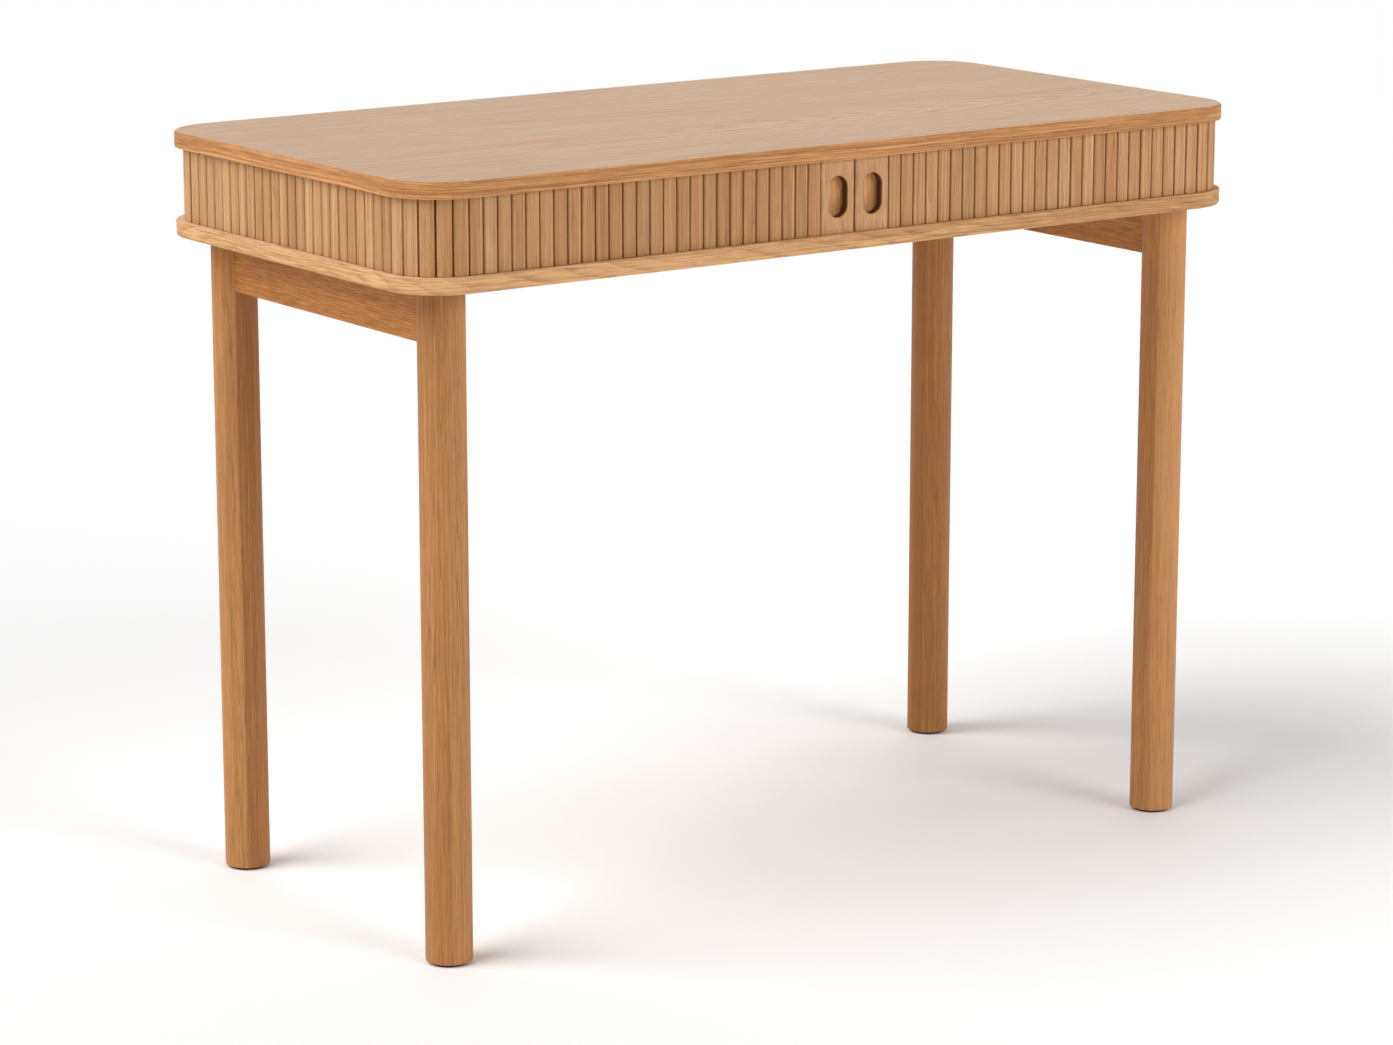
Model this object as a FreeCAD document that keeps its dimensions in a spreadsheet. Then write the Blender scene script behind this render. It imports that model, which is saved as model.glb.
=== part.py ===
import FreeCAD
import Part
import Sketcher
import math
import os
import re

# Tambour desk: a shallow oak case on four round legs, closed by two slatted curtains that slide
# along the front and round its corners. The origin is on the floor below the middle of the desk,
# X runs along the front, Y to the back and Z up. Lengths are millimetres, angles degrees.

# Driving dimensions
SIZES = (
    # Whole desk
    ("desk_width", 1000),
    ("desk_depth", 492),
    ("desk_height", 755),
    # Case boards
    ("board_thickness", 16),
    ("case_opening", 72),
    ("corner_radius", 58),
    ("outer_edge_round", 3),
    ("inner_edge_round", 0.8),
    # Slats of the curtains and the canvas behind them
    ("slat_inset", 6),
    ("slat_thickness", 6),
    ("slat_pitch", 15.2),
    ("slat_gap", 1.1),
    ("slat_least_gap", 0.2),
    ("slat_edge_round", 1.2),
    ("slat_end_clearance", 0.4),
    ("tail_slats", 3),
    ("canvas_thickness", 0.8),
    ("canvas_margin", 6),
    # Tongues on the slats and the track that guides them
    ("tongue_thickness", 4),
    ("tongue_width", 8),
    ("tongue_length", 5.5),
    ("track_depth", 6.2),
    ("track_clearance", 0.3),
    # Lead stiles with their finger pulls
    ("stile_width", 40.5),
    ("stile_thickness", 16),
    ("stile_edge_round", 2.5),
    ("meeting_gap", 1.2),
    ("pull_width", 24),
    ("pull_height", 40.5),
    ("pull_depth", 10),
    ("pull_floor_round", 3),
    ("pull_rim_round", 0.8),
    # Door stops and the pegs where the stiles meet
    ("stop_reach", 2),
    ("stop_length", 8),
    ("stop_depth", 10),
    ("stop_height", 14),
    ("stop_clearance", 1.5),
    ("stop_round", 1.5),
    ("peg_diameter", 4),
    # Liner panels inside the case
    ("liner_clearance", 0.8),
    ("side_panel_thickness", 12),
    ("inner_back_thickness", 10),
    ("divider_thickness", 16),
    # Outer back panel
    ("back_panel_thickness", 6),
    ("back_panel_setback", 4),
    ("back_panel_clearance", 1),
    ("back_panel_lap", 8),
    ("back_groove_depth", 4),
    ("back_groove_clearance", 0.2),
    # Legs and glides
    ("leg_diameter", 45.5),
    ("leg_inset_side", 57),
    ("leg_inset_front", 55),
    ("foot_round", 1),
    ("glide_diameter", 38),
    ("glide_thickness", 2.5),
    ("glide_round", 0.5),
    ("glide_pin_diameter", 5),
    ("glide_pin_length", 16),
    # Side rails
    ("rail_thickness", 22),
    ("rail_height", 55),
    ("rail_edge_round", 2),
    ("cope_clearance", 0.1),
    # Dowels, bolts and screws
    ("dowel_diameter", 6),
    ("dowel_length", 20),
    ("rail_dowel_diameter", 10),
    ("rail_dowel_in_leg", 14),
    ("rail_dowel_in_rail", 26),
    ("rail_dowel_spacing", 28),
    ("bolt_diameter", 8),
    ("bolt_in_leg", 45),
    ("bolt_in_board", 11),
    ("insert_diameter", 12),
    ("insert_length", 12),
    ("screw_diameter", 5),
    ("screw_in_board", 11),
    ("screw_grip", 25),
    ("screw_head_diameter", 9),
    ("screw_head_height", 4),
    ("screw_dowel_distance", 32),
    ("counterbore_diameter", 11),
    ("hole_clearance", 0.1),
    ("hole_spare", 0.5),
    ("overrun", 3),
)

# Lengths and counts worked out from the driving dimensions
LAYOUT = (
    ("half_width", "desk_width / 2"),
    ("half_depth", "desk_depth / 2"),
    ("underside", "desk_height - 2 * board_thickness - case_opening"),
    ("case_floor", "underside + board_thickness"),
    ("case_ceiling", "case_floor + case_opening"),
    # Curtain line: centres of its corner arcs, radii of its faces and of the canvas
    ("corner_x", "half_width - corner_radius"),
    ("front_y", "half_depth - corner_radius"),
    ("face_radius", "corner_radius - slat_inset"),
    ("face_front", "front_y + face_radius"),
    ("rear_inset", "back_panel_setback + back_panel_thickness + back_panel_clearance"),
    ("rear_y", "half_depth - rear_inset - face_radius"),
    ("slat_back_radius", "face_radius - slat_thickness"),
    ("canvas_radius", "slat_back_radius - canvas_thickness"),
    # Slats: how many stand on each stretch, and how far apart
    ("stile_end", "meeting_gap / 2 + stile_width"),
    ("front_run", "corner_x - stile_end"),
    ("front_count", "round(front_run / slat_pitch)"),
    ("front_pitch", "front_run / front_count"),
    ("side_run", "front_y + rear_y"),
    ("side_count", "round(side_run / slat_pitch)"),
    ("side_pitch", "side_run / side_count"),
    ("slat_width", "slat_pitch - slat_gap"),
    ("corner_count", "floor(pi / 2 * slat_back_radius / (slat_width + slat_least_gap))"),
    ("corner_step", "90 / corner_count"),
    ("tail_run", "tail_slats * slat_pitch"),
    # Track: wide enough for a straight tongue on the arc
    ("tongue_radius", "face_radius - slat_thickness / 2"),
    ("tongue_corner", "sqrt((tongue_radius + tongue_thickness / 2) ^ 2 + (tongue_width / 2) ^ 2)"),
    ("track_outer", "tongue_corner + track_clearance"),
    ("track_inner", "tongue_radius - tongue_thickness / 2 - track_clearance"),
    ("stile_tongue_inset", "peg_diameter / 2 + track_clearance - meeting_gap / 2"),
    # Door stop: behind the canvas, a little before the corner
    ("stop_face", "corner_x - stop_reach"),
    ("stop_front", "front_y + canvas_radius - stop_clearance"),
    # Liner: its corners keep inside the curtain's corner arcs
    ("liner_offset", "(canvas_radius - liner_clearance) / sqrt(2)"),
    ("liner_x", "corner_x + liner_offset"),
    ("liner_inner_x", "liner_x - side_panel_thickness"),
    ("liner_front", "front_y + liner_offset"),
    ("liner_rear", "rear_y + liner_offset"),
    ("liner_inner_rear", "liner_rear - inner_back_thickness"),
    # Outer back panel
    ("back_rear", "half_depth - back_panel_setback"),
    ("back_front", "back_rear - back_panel_thickness"),
    ("back_half", "corner_x + back_panel_lap"),
    # Underframe
    ("leg_x", "half_width - leg_inset_side"),
    ("leg_y", "half_depth - leg_inset_front"),
    ("leg_radius", "leg_diameter / 2"),
    ("rail_bottom", "underside - rail_height"),
    ("rail_middle", "underside - rail_height / 2"),
    ("rail_end", "leg_y - leg_radius"),
    ("screw_seat", "underside - screw_grip"),
    ("screw_y", "rail_end - rail_dowel_in_rail - screw_dowel_distance"),
    # Holes for what is pushed or screwed in
    ("dowel_hole", "dowel_diameter + 2 * hole_clearance"),
    ("dowel_hole_depth", "dowel_length / 2 + hole_spare"),
    ("rail_dowel_hole", "rail_dowel_diameter + 2 * hole_clearance"),
    ("bolt_hole", "bolt_diameter + 2 * hole_clearance"),
    ("insert_hole", "insert_diameter + 2 * hole_clearance"),
    ("screw_hole", "screw_diameter + 2 * hole_clearance"),
    ("glide_pin_hole", "glide_pin_diameter + 2 * hole_clearance"),
)

# Where dowels stand along a liner panel, as shares of its length from one end
PANEL_DOWEL_SHARES = (0.1, 0.5, 0.9)
BACK_DOWEL_SHARES = (0.1, 0.35, 0.65, 0.9)

# Widest mismatch that still counts as lying on a plane
TOUCH = 1e-6

doc = FreeCAD.newDocument("TambourDesk")
nodes = []


def fill_sheet(name, rows):
    """Write one named value per row: its word in column A, its value, with that alias, in column B."""
    sheet = doc.addObject("Spreadsheet::Sheet", name)
    for row, (alias, content) in enumerate(rows, start=1):
        sheet.set("A%d" % row, alias)
        sheet.set("B%d" % row, str(content))
        sheet.setAlias("B%d" % row, alias)
    doc.recompute()
    return sheet


SIZE_WORDS = {alias for alias, content in SIZES}
LAYOUT_WORDS = {alias for alias, content in LAYOUT}


def formula(text):
    """Turn the plain words of a formula into references to the two sheets."""
    def reference(match):
        word = match.group()
        if word in SIZE_WORDS:
            return "Sizes." + word
        if word in LAYOUT_WORDS:
            return "Layout." + word
        return word
    return re.sub(r"[a-z_]+", reference, text)


sizes = fill_sheet("Sizes", SIZES)
layout = fill_sheet("Layout", [(alias, "=" + formula(text)) for alias, text in LAYOUT])


def number(text):
    """Present value of a formula."""
    return float(layout.evalExpression(formula(text)))


def new_body(label, x="0", y="0", z="0", turn="0"):
    """A sub-part at its place in the desk, turned about its upright axis."""
    body = doc.addObject("PartDesign::Body", label)
    body.Label = label
    body.AllowCompound = True
    body.setExpression("Placement.Base.x", formula(x))
    body.setExpression("Placement.Base.y", formula(y))
    body.setExpression("Placement.Base.z", formula(z))
    body.setExpression("Placement.Rotation.Angle", formula(turn))
    nodes.append(body)
    return body


def origin_feature(body, role):
    """One of the body's own origin planes or axes."""
    return next(item for item in body.Origin.OriginFeatures if item.Role == role)


def new_sketch(body, name, level="0", plane="XY_Plane", shift="0"):
    """A sketch on an origin plane of the body, moved along its normal and its own upward direction."""
    sketch = body.newObject("Sketcher::SketchObject", body.Label + "_" + name)
    sketch.AttachmentSupport = [(origin_feature(body, plane), "")]
    sketch.MapMode = "FlatFace"
    sketch.setExpression("AttachmentOffset.Base.y", formula(shift))
    sketch.setExpression("AttachmentOffset.Base.z", formula(level))
    return sketch


def drive(sketch, kind, where, text):
    """Add a constraint whose value follows a formula."""
    index = sketch.addConstraint(Sketcher.Constraint(kind, *where, number(text)))
    name = "%s_%d" % (kind.lower(), index)
    sketch.renameConstraint(index, name)
    sketch.setExpression("Constraints." + name, formula(text))


def place_point(sketch, geometry, point, x=None, y=None):
    """Hold a point of the sketch at a distance from its origin."""
    if x is not None:
        drive(sketch, "DistanceX", (-1, 1, geometry, point), x)
    if y is not None:
        drive(sketch, "DistanceY", (-1, 1, geometry, point), y)


def rectangle(sketch, left, right, front, rear, rounds=(None, None, None, None)):
    """An upright outline; its corner rounds run counter-clockwise from the left front corner."""
    x_low, x_high, y_low, y_high = number(left), number(right), number(front), number(rear)
    radii = [number(text) if text else 0.0 for text in rounds]
    corners = ((x_low, y_low), (x_high, y_low), (x_high, y_high), (x_low, y_high))
    along = ((1, 0), (0, 1), (-1, 0), (0, -1))
    lines = []
    for side in range(4):
        ahead = (side + 1) % 4
        step = FreeCAD.Vector(*along[side], 0)
        start = FreeCAD.Vector(*corners[side], 0) + step * radii[side]
        end = FreeCAD.Vector(*corners[ahead], 0) - step * radii[ahead]
        lines.append(sketch.addGeometry(Part.LineSegment(start, end)))
    for side in (0, 2):
        sketch.addConstraint(Sketcher.Constraint("Horizontal", lines[side]))
    for side in (1, 3):
        sketch.addConstraint(Sketcher.Constraint("Vertical", lines[side]))
    for corner in range(4):
        before = lines[corner - 1]
        after = lines[corner]
        if not rounds[corner]:
            sketch.addConstraint(Sketcher.Constraint("Coincident", before, 2, after, 1))
            continue
        inward = FreeCAD.Vector(*along[corner], 0) - FreeCAD.Vector(*along[corner - 1], 0)
        centre = FreeCAD.Vector(*corners[corner], 0) + inward * radii[corner]
        circle = Part.Circle(centre, FreeCAD.Vector(0, 0, 1), radii[corner])
        start_angle = math.pi + corner * math.pi / 2
        arc = sketch.addGeometry(Part.ArcOfCircle(circle, start_angle, start_angle + math.pi / 2))
        sketch.addConstraint(Sketcher.Constraint("Tangent", before, 2, arc, 1))
        sketch.addConstraint(Sketcher.Constraint("Tangent", arc, 2, after, 1))
        drive(sketch, "Radius", (arc,), rounds[corner])
    place_point(sketch, lines[0], 1, y=front)
    place_point(sketch, lines[1], 1, x=right)
    place_point(sketch, lines[2], 1, y=rear)
    place_point(sketch, lines[3], 1, x=left)


def circles(sketch, spots, diameter):
    """A circle of one diameter on each spot."""
    for x, y in spots:
        centre = FreeCAD.Vector(number(x), number(y), 0)
        circle = Part.Circle(centre, FreeCAD.Vector(0, 0, 1), number(diameter) / 2)
        index = sketch.addGeometry(circle)
        drive(sketch, "Diameter", (index,), diameter)
        place_point(sketch, index, 3, x, y)


def obround(sketch, width, height, middle):
    """An upright slot with round ends, on the sketch's upward axis."""
    radius = number(width) / 2
    rise = number(height) / 2 - radius
    top = FreeCAD.Vector(0, number(middle) + rise, 0)
    low = FreeCAD.Vector(0, number(middle) - rise, 0)
    across = FreeCAD.Vector(radius, 0, 0)
    normal = FreeCAD.Vector(0, 0, 1)
    right = sketch.addGeometry(Part.LineSegment(low + across, top + across))
    upper = sketch.addGeometry(Part.ArcOfCircle(Part.Circle(top, normal, radius), 0, math.pi))
    left = sketch.addGeometry(Part.LineSegment(top - across, low - across))
    lower = sketch.addGeometry(Part.ArcOfCircle(Part.Circle(low, normal, radius), math.pi, 2 * math.pi))
    loop = (right, upper, left, lower)
    for before, after in zip(loop, loop[1:] + loop[:1]):
        sketch.addConstraint(Sketcher.Constraint("Tangent", before, 2, after, 1))
    sketch.addConstraint(Sketcher.Constraint("Vertical", right))
    sketch.addConstraint(Sketcher.Constraint("Vertical", left))
    drive(sketch, "Radius", (upper,), width + " / 2")
    place_point(sketch, upper, 3, "0", "%s + (%s - %s) / 2" % (middle, height, width))
    place_point(sketch, lower, 3, y="%s - (%s - %s) / 2" % (middle, height, width))


def ring(sketch, outer, inner):
    """A band along the curtain line, between two radii about the centres of its corner arcs."""
    for radius in (outer, inner):
        rectangle(sketch, "-corner_x - " + radius, "corner_x + " + radius,
                  "-front_y - " + radius, "rear_y + " + radius, (radius,) * 4)


def pad(body, sketch, length, reverse=False):
    """Raise a sketch by a length."""
    feature = body.newObject("PartDesign::Pad", sketch.Name + "_pad")
    feature.Profile = sketch
    feature.setExpression("Length", formula(length))
    feature.Reversed = reverse
    body.Tip = feature
    doc.recompute()
    return feature


def pocket(body, sketch, depth, reverse=False):
    """Cut a sketch to a depth and make sure that it took something away."""
    volume = body.Shape.Volume
    feature = body.newObject("PartDesign::Pocket", sketch.Name + "_pocket")
    feature.Profile = sketch
    feature.setExpression("Length", formula(depth))
    feature.Reversed = reverse
    body.Tip = feature
    doc.recompute()
    if not body.Shape.Volume < volume - TOUCH:
        raise RuntimeError("nothing was cut by " + feature.Name)
    return feature


def edges_where(feature, wanted):
    """Names of the edges whose bounding box answers to a test."""
    edges = enumerate(feature.Shape.Edges, start=1)
    return ["Edge%d" % index for index, edge in edges if wanted(edge.BoundBox)]


def round_edges(body, name, radius, wanted):
    """Round the edges of the last feature whose bounding box answers to a test."""
    base = body.Tip
    edges = edges_where(base, wanted)
    if not edges:
        raise RuntimeError("no edge to round for " + body.Label)
    feature = body.newObject("PartDesign::Fillet", body.Label + "_" + name)
    feature.Base = (base, edges)
    feature.setExpression("Radius", formula(radius))
    body.Tip = feature
    doc.recompute()
    return feature


def at_level(text):
    """Test for edges that lie flat at a height."""
    level = number(text)
    return lambda box: abs(box.ZMin - level) < TOUCH and abs(box.ZMax - level) < TOUCH


def row(body, name, features, axis, pitch, count):
    """Repeat features along an axis of the body."""
    pattern = body.newObject("PartDesign::LinearPattern", body.Label + "_" + name)
    pattern.Originals = features
    pattern.Direction = (origin_feature(body, axis), [""])
    pattern.Mode = "Spacing"
    pattern.setExpression("Offset", formula(pitch))
    pattern.setExpression("Occurrences", formula(count))
    body.Tip = pattern
    doc.recompute()
    return pattern


def fan(body, name, features, step, count):
    """Repeat features about the body's upright axis."""
    pattern = body.newObject("PartDesign::PolarPattern", body.Label + "_" + name)
    pattern.Originals = features
    pattern.Axis = (origin_feature(body, "Z_Axis"), [""])
    pattern.Mode = "Spacing"
    pattern.setExpression("Offset", formula(step))
    pattern.setExpression("Occurrences", formula(count))
    body.Tip = pattern
    doc.recompute()
    return pattern


# Spots that several pieces share

LEG_SPOTS = {
    "front_left": ("-leg_x", "-leg_y"),
    "front_right": ("leg_x", "-leg_y"),
    "rear_left": ("-leg_x", "leg_y"),
    "rear_right": ("leg_x", "leg_y"),
}
RAIL_SCREW_Y = ("-screw_y", "0", "screw_y")


def side_panel_spots(sign):
    """Dowels of an inner side panel."""
    x = "%s(liner_x - side_panel_thickness / 2)" % sign
    return [(x, "-liner_front + %s * (liner_front + liner_rear)" % share) for share in PANEL_DOWEL_SHARES]


def inner_back_spots():
    """Dowels of the inner back."""
    y = "liner_rear - inner_back_thickness / 2"
    return [("-liner_inner_x + %s * 2 * liner_inner_x" % share, y) for share in BACK_DOWEL_SHARES]


def divider_spots():
    """Dowels of the divider."""
    return [("0", "-liner_front + %s * (liner_front + liner_inner_rear)" % share)
            for share in PANEL_DOWEL_SHARES]


def liner_spots():
    """All dowels between the liner and one board."""
    return side_panel_spots("-") + side_panel_spots("+") + inner_back_spots() + divider_spots()


# Case

def case_board(label, level, inner_face, outer_face, cut_up):
    """A board of the case with its track, the groove for the back panel and the dowel holes."""
    body = new_body(label, z=level)
    outline = new_sketch(body, "outline")
    rectangle(outline, "-half_width", "half_width", "-half_depth", "half_depth", ("corner_radius",) * 4)
    pad(body, outline, "board_thickness")
    round_edges(body, "outer_round", "outer_edge_round", at_level(outer_face))
    round_edges(body, "inner_round", "inner_edge_round", at_level(inner_face))
    track = new_sketch(body, "track", inner_face)
    ring(track, "track_outer", "track_inner")
    pocket(body, track, "track_depth", cut_up)
    groove = new_sketch(body, "back_groove", inner_face)
    rectangle(groove, "-back_half - back_groove_clearance", "back_half + back_groove_clearance",
              "back_front - back_groove_clearance", "back_rear + back_groove_clearance")
    pocket(body, groove, "back_groove_depth", cut_up)
    holes = new_sketch(body, "dowel_holes", inner_face)
    circles(holes, liner_spots(), "dowel_hole")
    pocket(body, holes, "dowel_hole_depth", cut_up)
    return body


def top_board():
    """Board with the writing surface; its track is cut from below."""
    case_board("top_board", "case_ceiling", "0", "board_thickness", True)


def bottom_board():
    """Board that stands on the legs; holes for inserts and screws are cut from below."""
    body = case_board("bottom_board", "underside", "board_thickness", "0", False)
    inserts = new_sketch(body, "insert_holes")
    circles(inserts, LEG_SPOTS.values(), "insert_hole")
    pocket(body, inserts, "insert_length + hole_spare", True)
    screws = new_sketch(body, "screw_holes")
    circles(screws, [(x, y) for x in ("-leg_x", "leg_x") for y in RAIL_SCREW_Y], "screw_hole")
    pocket(body, screws, "screw_in_board + hole_spare", True)


def liner_panel(label, left, right, front, rear, spots):
    """A panel that stands between the boards on dowels."""
    body = new_body(label, z="case_floor")
    outline = new_sketch(body, "outline")
    rectangle(outline, left, right, front, rear)
    pad(body, outline, "case_opening")
    lower = new_sketch(body, "lower_holes")
    circles(lower, spots, "dowel_hole")
    pocket(body, lower, "dowel_hole_depth", True)
    upper = new_sketch(body, "upper_holes", "case_opening")
    circles(upper, spots, "dowel_hole")
    pocket(body, upper, "dowel_hole_depth")


def liner():
    """Inner side panels, inner back and divider."""
    liner_panel("left_inner_side", "-liner_x", "-liner_inner_x", "-liner_front", "liner_rear",
                side_panel_spots("-"))
    liner_panel("right_inner_side", "liner_inner_x", "liner_x", "-liner_front", "liner_rear",
                side_panel_spots("+"))
    liner_panel("inner_back", "-liner_inner_x", "liner_inner_x", "liner_inner_rear", "liner_rear",
                inner_back_spots())
    liner_panel("centre_divider", "-divider_thickness / 2", "divider_thickness / 2", "-liner_front",
                "liner_inner_rear", divider_spots())


def carcase_dowels():
    """Dowels between the liner and both boards."""
    body = new_body("carcase_dowels", z="case_floor - dowel_length / 2")
    section = new_sketch(body, "section")
    circles(section, liner_spots(), "dowel_diameter")
    lower = pad(body, section, "dowel_length")
    row(body, "rows", [lower], "Z_Axis", "case_opening", "2")


def back_panel():
    """Thin panel, let into both boards, that hides the tails of the curtains."""
    reach = "(back_groove_depth - back_groove_clearance)"
    body = new_body("back_panel", z="case_floor - " + reach)
    outline = new_sketch(body, "outline")
    rectangle(outline, "-back_half", "back_half", "back_front", "back_rear")
    pad(body, outline, "case_opening + 2 * " + reach)


# Curtains

def slat(body, shift="0"):
    """One slat: a flat strip with rounded front edges and a tongue at each end."""
    section = new_sketch(body, "section", "slat_end_clearance", shift=shift)
    rectangle(section, "-slat_width / 2", "slat_width / 2", "0", "slat_thickness",
              ("slat_edge_round", "slat_edge_round", None, None))
    strip = pad(body, section, "case_opening - 2 * slat_end_clearance")
    return [strip, tongue(body, "tongue_width / 2", shift)]


def tongue(body, half_width, shift="0"):
    """Thin core that reaches past both ends of a slat into the tracks."""
    section = new_sketch(body, "tongue", "-tongue_length", shift=shift)
    rectangle(section, "-" + half_width, half_width, "(slat_thickness - tongue_thickness) / 2",
              "(slat_thickness + tongue_thickness) / 2")
    return pad(body, section, "case_opening + 2 * tongue_length")


def straight_slats(label, x, y, turn, pitch, count):
    """A row of slats; x and y are the face of the first one."""
    body = new_body(label, x, y, "case_floor", turn)
    row(body, "row", slat(body), "X_Axis", pitch, count)


def corner_slats(label, x, y, first_turn):
    """A fan of slats about the centre of a corner arc."""
    body = new_body(label, x, y, "case_floor", first_turn + " + corner_step / 2")
    fan(body, "fan", slat(body, "-face_radius"), "corner_step", "corner_count")


def left_slats():
    """Slats of the left curtain, from the lead stile to the tail."""
    straight_slats("left_front_slats", "-corner_x + front_pitch / 2", "-face_front", "0",
                   "front_pitch", "front_count")
    corner_slats("left_corner_slats", "-corner_x", "-front_y", "-90")
    straight_slats("left_side_slats", "-corner_x - face_radius", "rear_y - side_pitch / 2", "-90",
                   "side_pitch", "side_count")
    corner_slats("left_rear_slats", "-corner_x", "rear_y", "-180")
    straight_slats("left_tail_slats", "-corner_x + tail_run - slat_pitch / 2", "rear_y + face_radius", "180",
                   "slat_pitch", "tail_slats")


def right_slats():
    """Slats of the right curtain, from the lead stile to the tail."""
    straight_slats("right_front_slats", "stile_end + front_pitch / 2", "-face_front", "0",
                   "front_pitch", "front_count")
    corner_slats("right_corner_slats", "corner_x", "-front_y", "0")
    straight_slats("right_side_slats", "corner_x + face_radius", "-front_y + side_pitch / 2", "90",
                   "side_pitch", "side_count")
    corner_slats("right_rear_slats", "corner_x", "rear_y", "90")
    straight_slats("right_tail_slats", "corner_x - slat_pitch / 2", "rear_y + face_radius", "180",
                   "slat_pitch", "tail_slats")


def front_canvas(label, left, right):
    """Canvas behind the slats between the lead stile and the front corner."""
    body = new_body(label, z="case_floor + canvas_margin")
    section = new_sketch(body, "section")
    rectangle(section, left, right, "-front_y - slat_back_radius", "-front_y - canvas_radius")
    pad(body, section, "case_opening - 2 * canvas_margin")


def side_canvas(label, front_cut, rear_cut):
    """Canvas round the front corner, along the side and round the rear corner, up to the tail."""
    body = new_body(label, z="case_floor + canvas_margin")
    section = new_sketch(body, "section")
    ring(section, "slat_back_radius", "canvas_radius")
    pad(body, section, "case_opening - 2 * canvas_margin")
    for name, cut, front, rear in (("front_cut", front_cut, "-half_depth", "0"),
                                   ("rear_cut", rear_cut, "0", "half_depth")):
        opening = new_sketch(body, name)
        rectangle(opening, cut[0], cut[1], front, rear)
        pocket(body, opening, "case_opening", True)


def curtain_canvas():
    """Canvas of both curtains."""
    front_canvas("left_front_canvas", "-corner_x", "-stile_end - slat_gap / 2")
    front_canvas("right_front_canvas", "stile_end + slat_gap / 2", "corner_x")
    side_canvas("left_side_canvas", ("-corner_x", "half_width"), ("-corner_x + tail_run", "half_width"))
    side_canvas("right_side_canvas", ("-half_width", "corner_x"), ("-half_width", "corner_x - tail_run"))


def lead_stile(label, x):
    """Wide first slat of a curtain, with a round-bottomed finger pull."""
    body = new_body(label, x, "-face_front", "case_floor")
    section = new_sketch(body, "section", "slat_end_clearance")
    rectangle(section, "-stile_width / 2", "stile_width / 2", "0", "stile_thickness",
              ("stile_edge_round", "stile_edge_round", None, None))
    pad(body, section, "case_opening - 2 * slat_end_clearance")
    tongue(body, "(stile_width / 2 - stile_tongue_inset)")
    slot = new_sketch(body, "pull", plane="XZ_Plane")
    obround(slot, "pull_width", "pull_height", "case_opening / 2")
    pocket(body, slot, "pull_depth")
    floor = number("pull_depth")
    round_edges(body, "pull_floor", "pull_floor_round",
                lambda box: abs(box.YMin - floor) < TOUCH and abs(box.YMax - floor) < TOUCH)
    reach = number("pull_height") / 2 + TOUCH
    middle = number("case_opening / 2")
    round_edges(body, "pull_rim", "pull_rim_round",
                lambda box: box.YMax < TOUCH and abs(box.ZMax - middle) < reach and
                abs(box.ZMin - middle) < reach)


def lead_stiles():
    """The two stiles that meet in the middle of the front."""
    lead_stile("left_lead_stile", "-meeting_gap / 2 - stile_width / 2")
    lead_stile("right_lead_stile", "meeting_gap / 2 + stile_width / 2")


def door_stop(label, left, right):
    """Block on the bottom board that the back of a lead stile runs against."""
    body = new_body(label, z="case_floor")
    outline = new_sketch(body, "outline")
    rectangle(outline, left, right, "-stop_front", "-stop_front + stop_depth")
    pad(body, outline, "stop_height")
    round_edges(body, "top_round", "stop_round", at_level("stop_height"))


def door_stops():
    """Stops before both front corners, and the pegs in the tracks where the stiles meet."""
    door_stop("left_door_stop", "-stop_face - stop_length", "-stop_face")
    door_stop("right_door_stop", "stop_face", "stop_face + stop_length")
    pegs = new_body("centre_pegs", "0", "-front_y - tongue_radius", "case_floor - track_depth")
    section = new_sketch(pegs, "section")
    circles(section, [("0", "0")], "peg_diameter")
    lower = pad(pegs, section, "track_depth")
    row(pegs, "rows", [lower], "Z_Axis", "case_opening + track_depth", "2")


# Underframe

def leg(name, x, y, turn):
    """A round leg with holes for the glide, the hanger bolt and the dowels of its rail."""
    body = new_body("leg_" + name, x, y, "glide_thickness", turn)
    section = new_sketch(body, "section")
    circles(section, [("0", "0")], "leg_diameter")
    pad(body, section, "underside - glide_thickness")
    round_edges(body, "foot_round", "foot_round", at_level("0"))
    pin_hole = new_sketch(body, "pin_hole")
    circles(pin_hole, [("0", "0")], "glide_pin_hole")
    pocket(body, pin_hole, "glide_pin_length + hole_spare", True)
    bolt_hole = new_sketch(body, "bolt_hole", "underside - glide_thickness")
    circles(bolt_hole, [("0", "0")], "bolt_hole")
    pocket(body, bolt_hole, "bolt_in_leg + hole_spare")
    dowel_holes = new_sketch(body, "dowel_holes", "rail_dowel_in_leg + hole_spare - leg_radius", "XZ_Plane")
    circles(dowel_holes, [("0", "rail_middle - glide_thickness %s rail_dowel_spacing / 2" % sign)
                          for sign in "+-"], "rail_dowel_hole")
    pocket(body, dowel_holes, "rail_dowel_in_leg + hole_spare + overrun")


def glide(name, x, y):
    """A nail-on glide under a leg."""
    body = new_body("glide_" + name, x, y)
    disc = new_sketch(body, "disc")
    circles(disc, [("0", "0")], "glide_diameter")
    pad(body, disc, "glide_thickness")
    round_edges(body, "edge_round", "glide_round", at_level("0"))
    pin = new_sketch(body, "pin")
    circles(pin, [("0", "0")], "glide_pin_diameter")
    pad(body, pin, "glide_thickness + glide_pin_length")


def legs():
    """Four legs, turned so that their dowel holes face the rail, and their glides."""
    for name, (x, y) in LEG_SPOTS.items():
        leg(name, x, y, "0" if name.startswith("front") else "180")
        glide(name, x, y)


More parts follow.
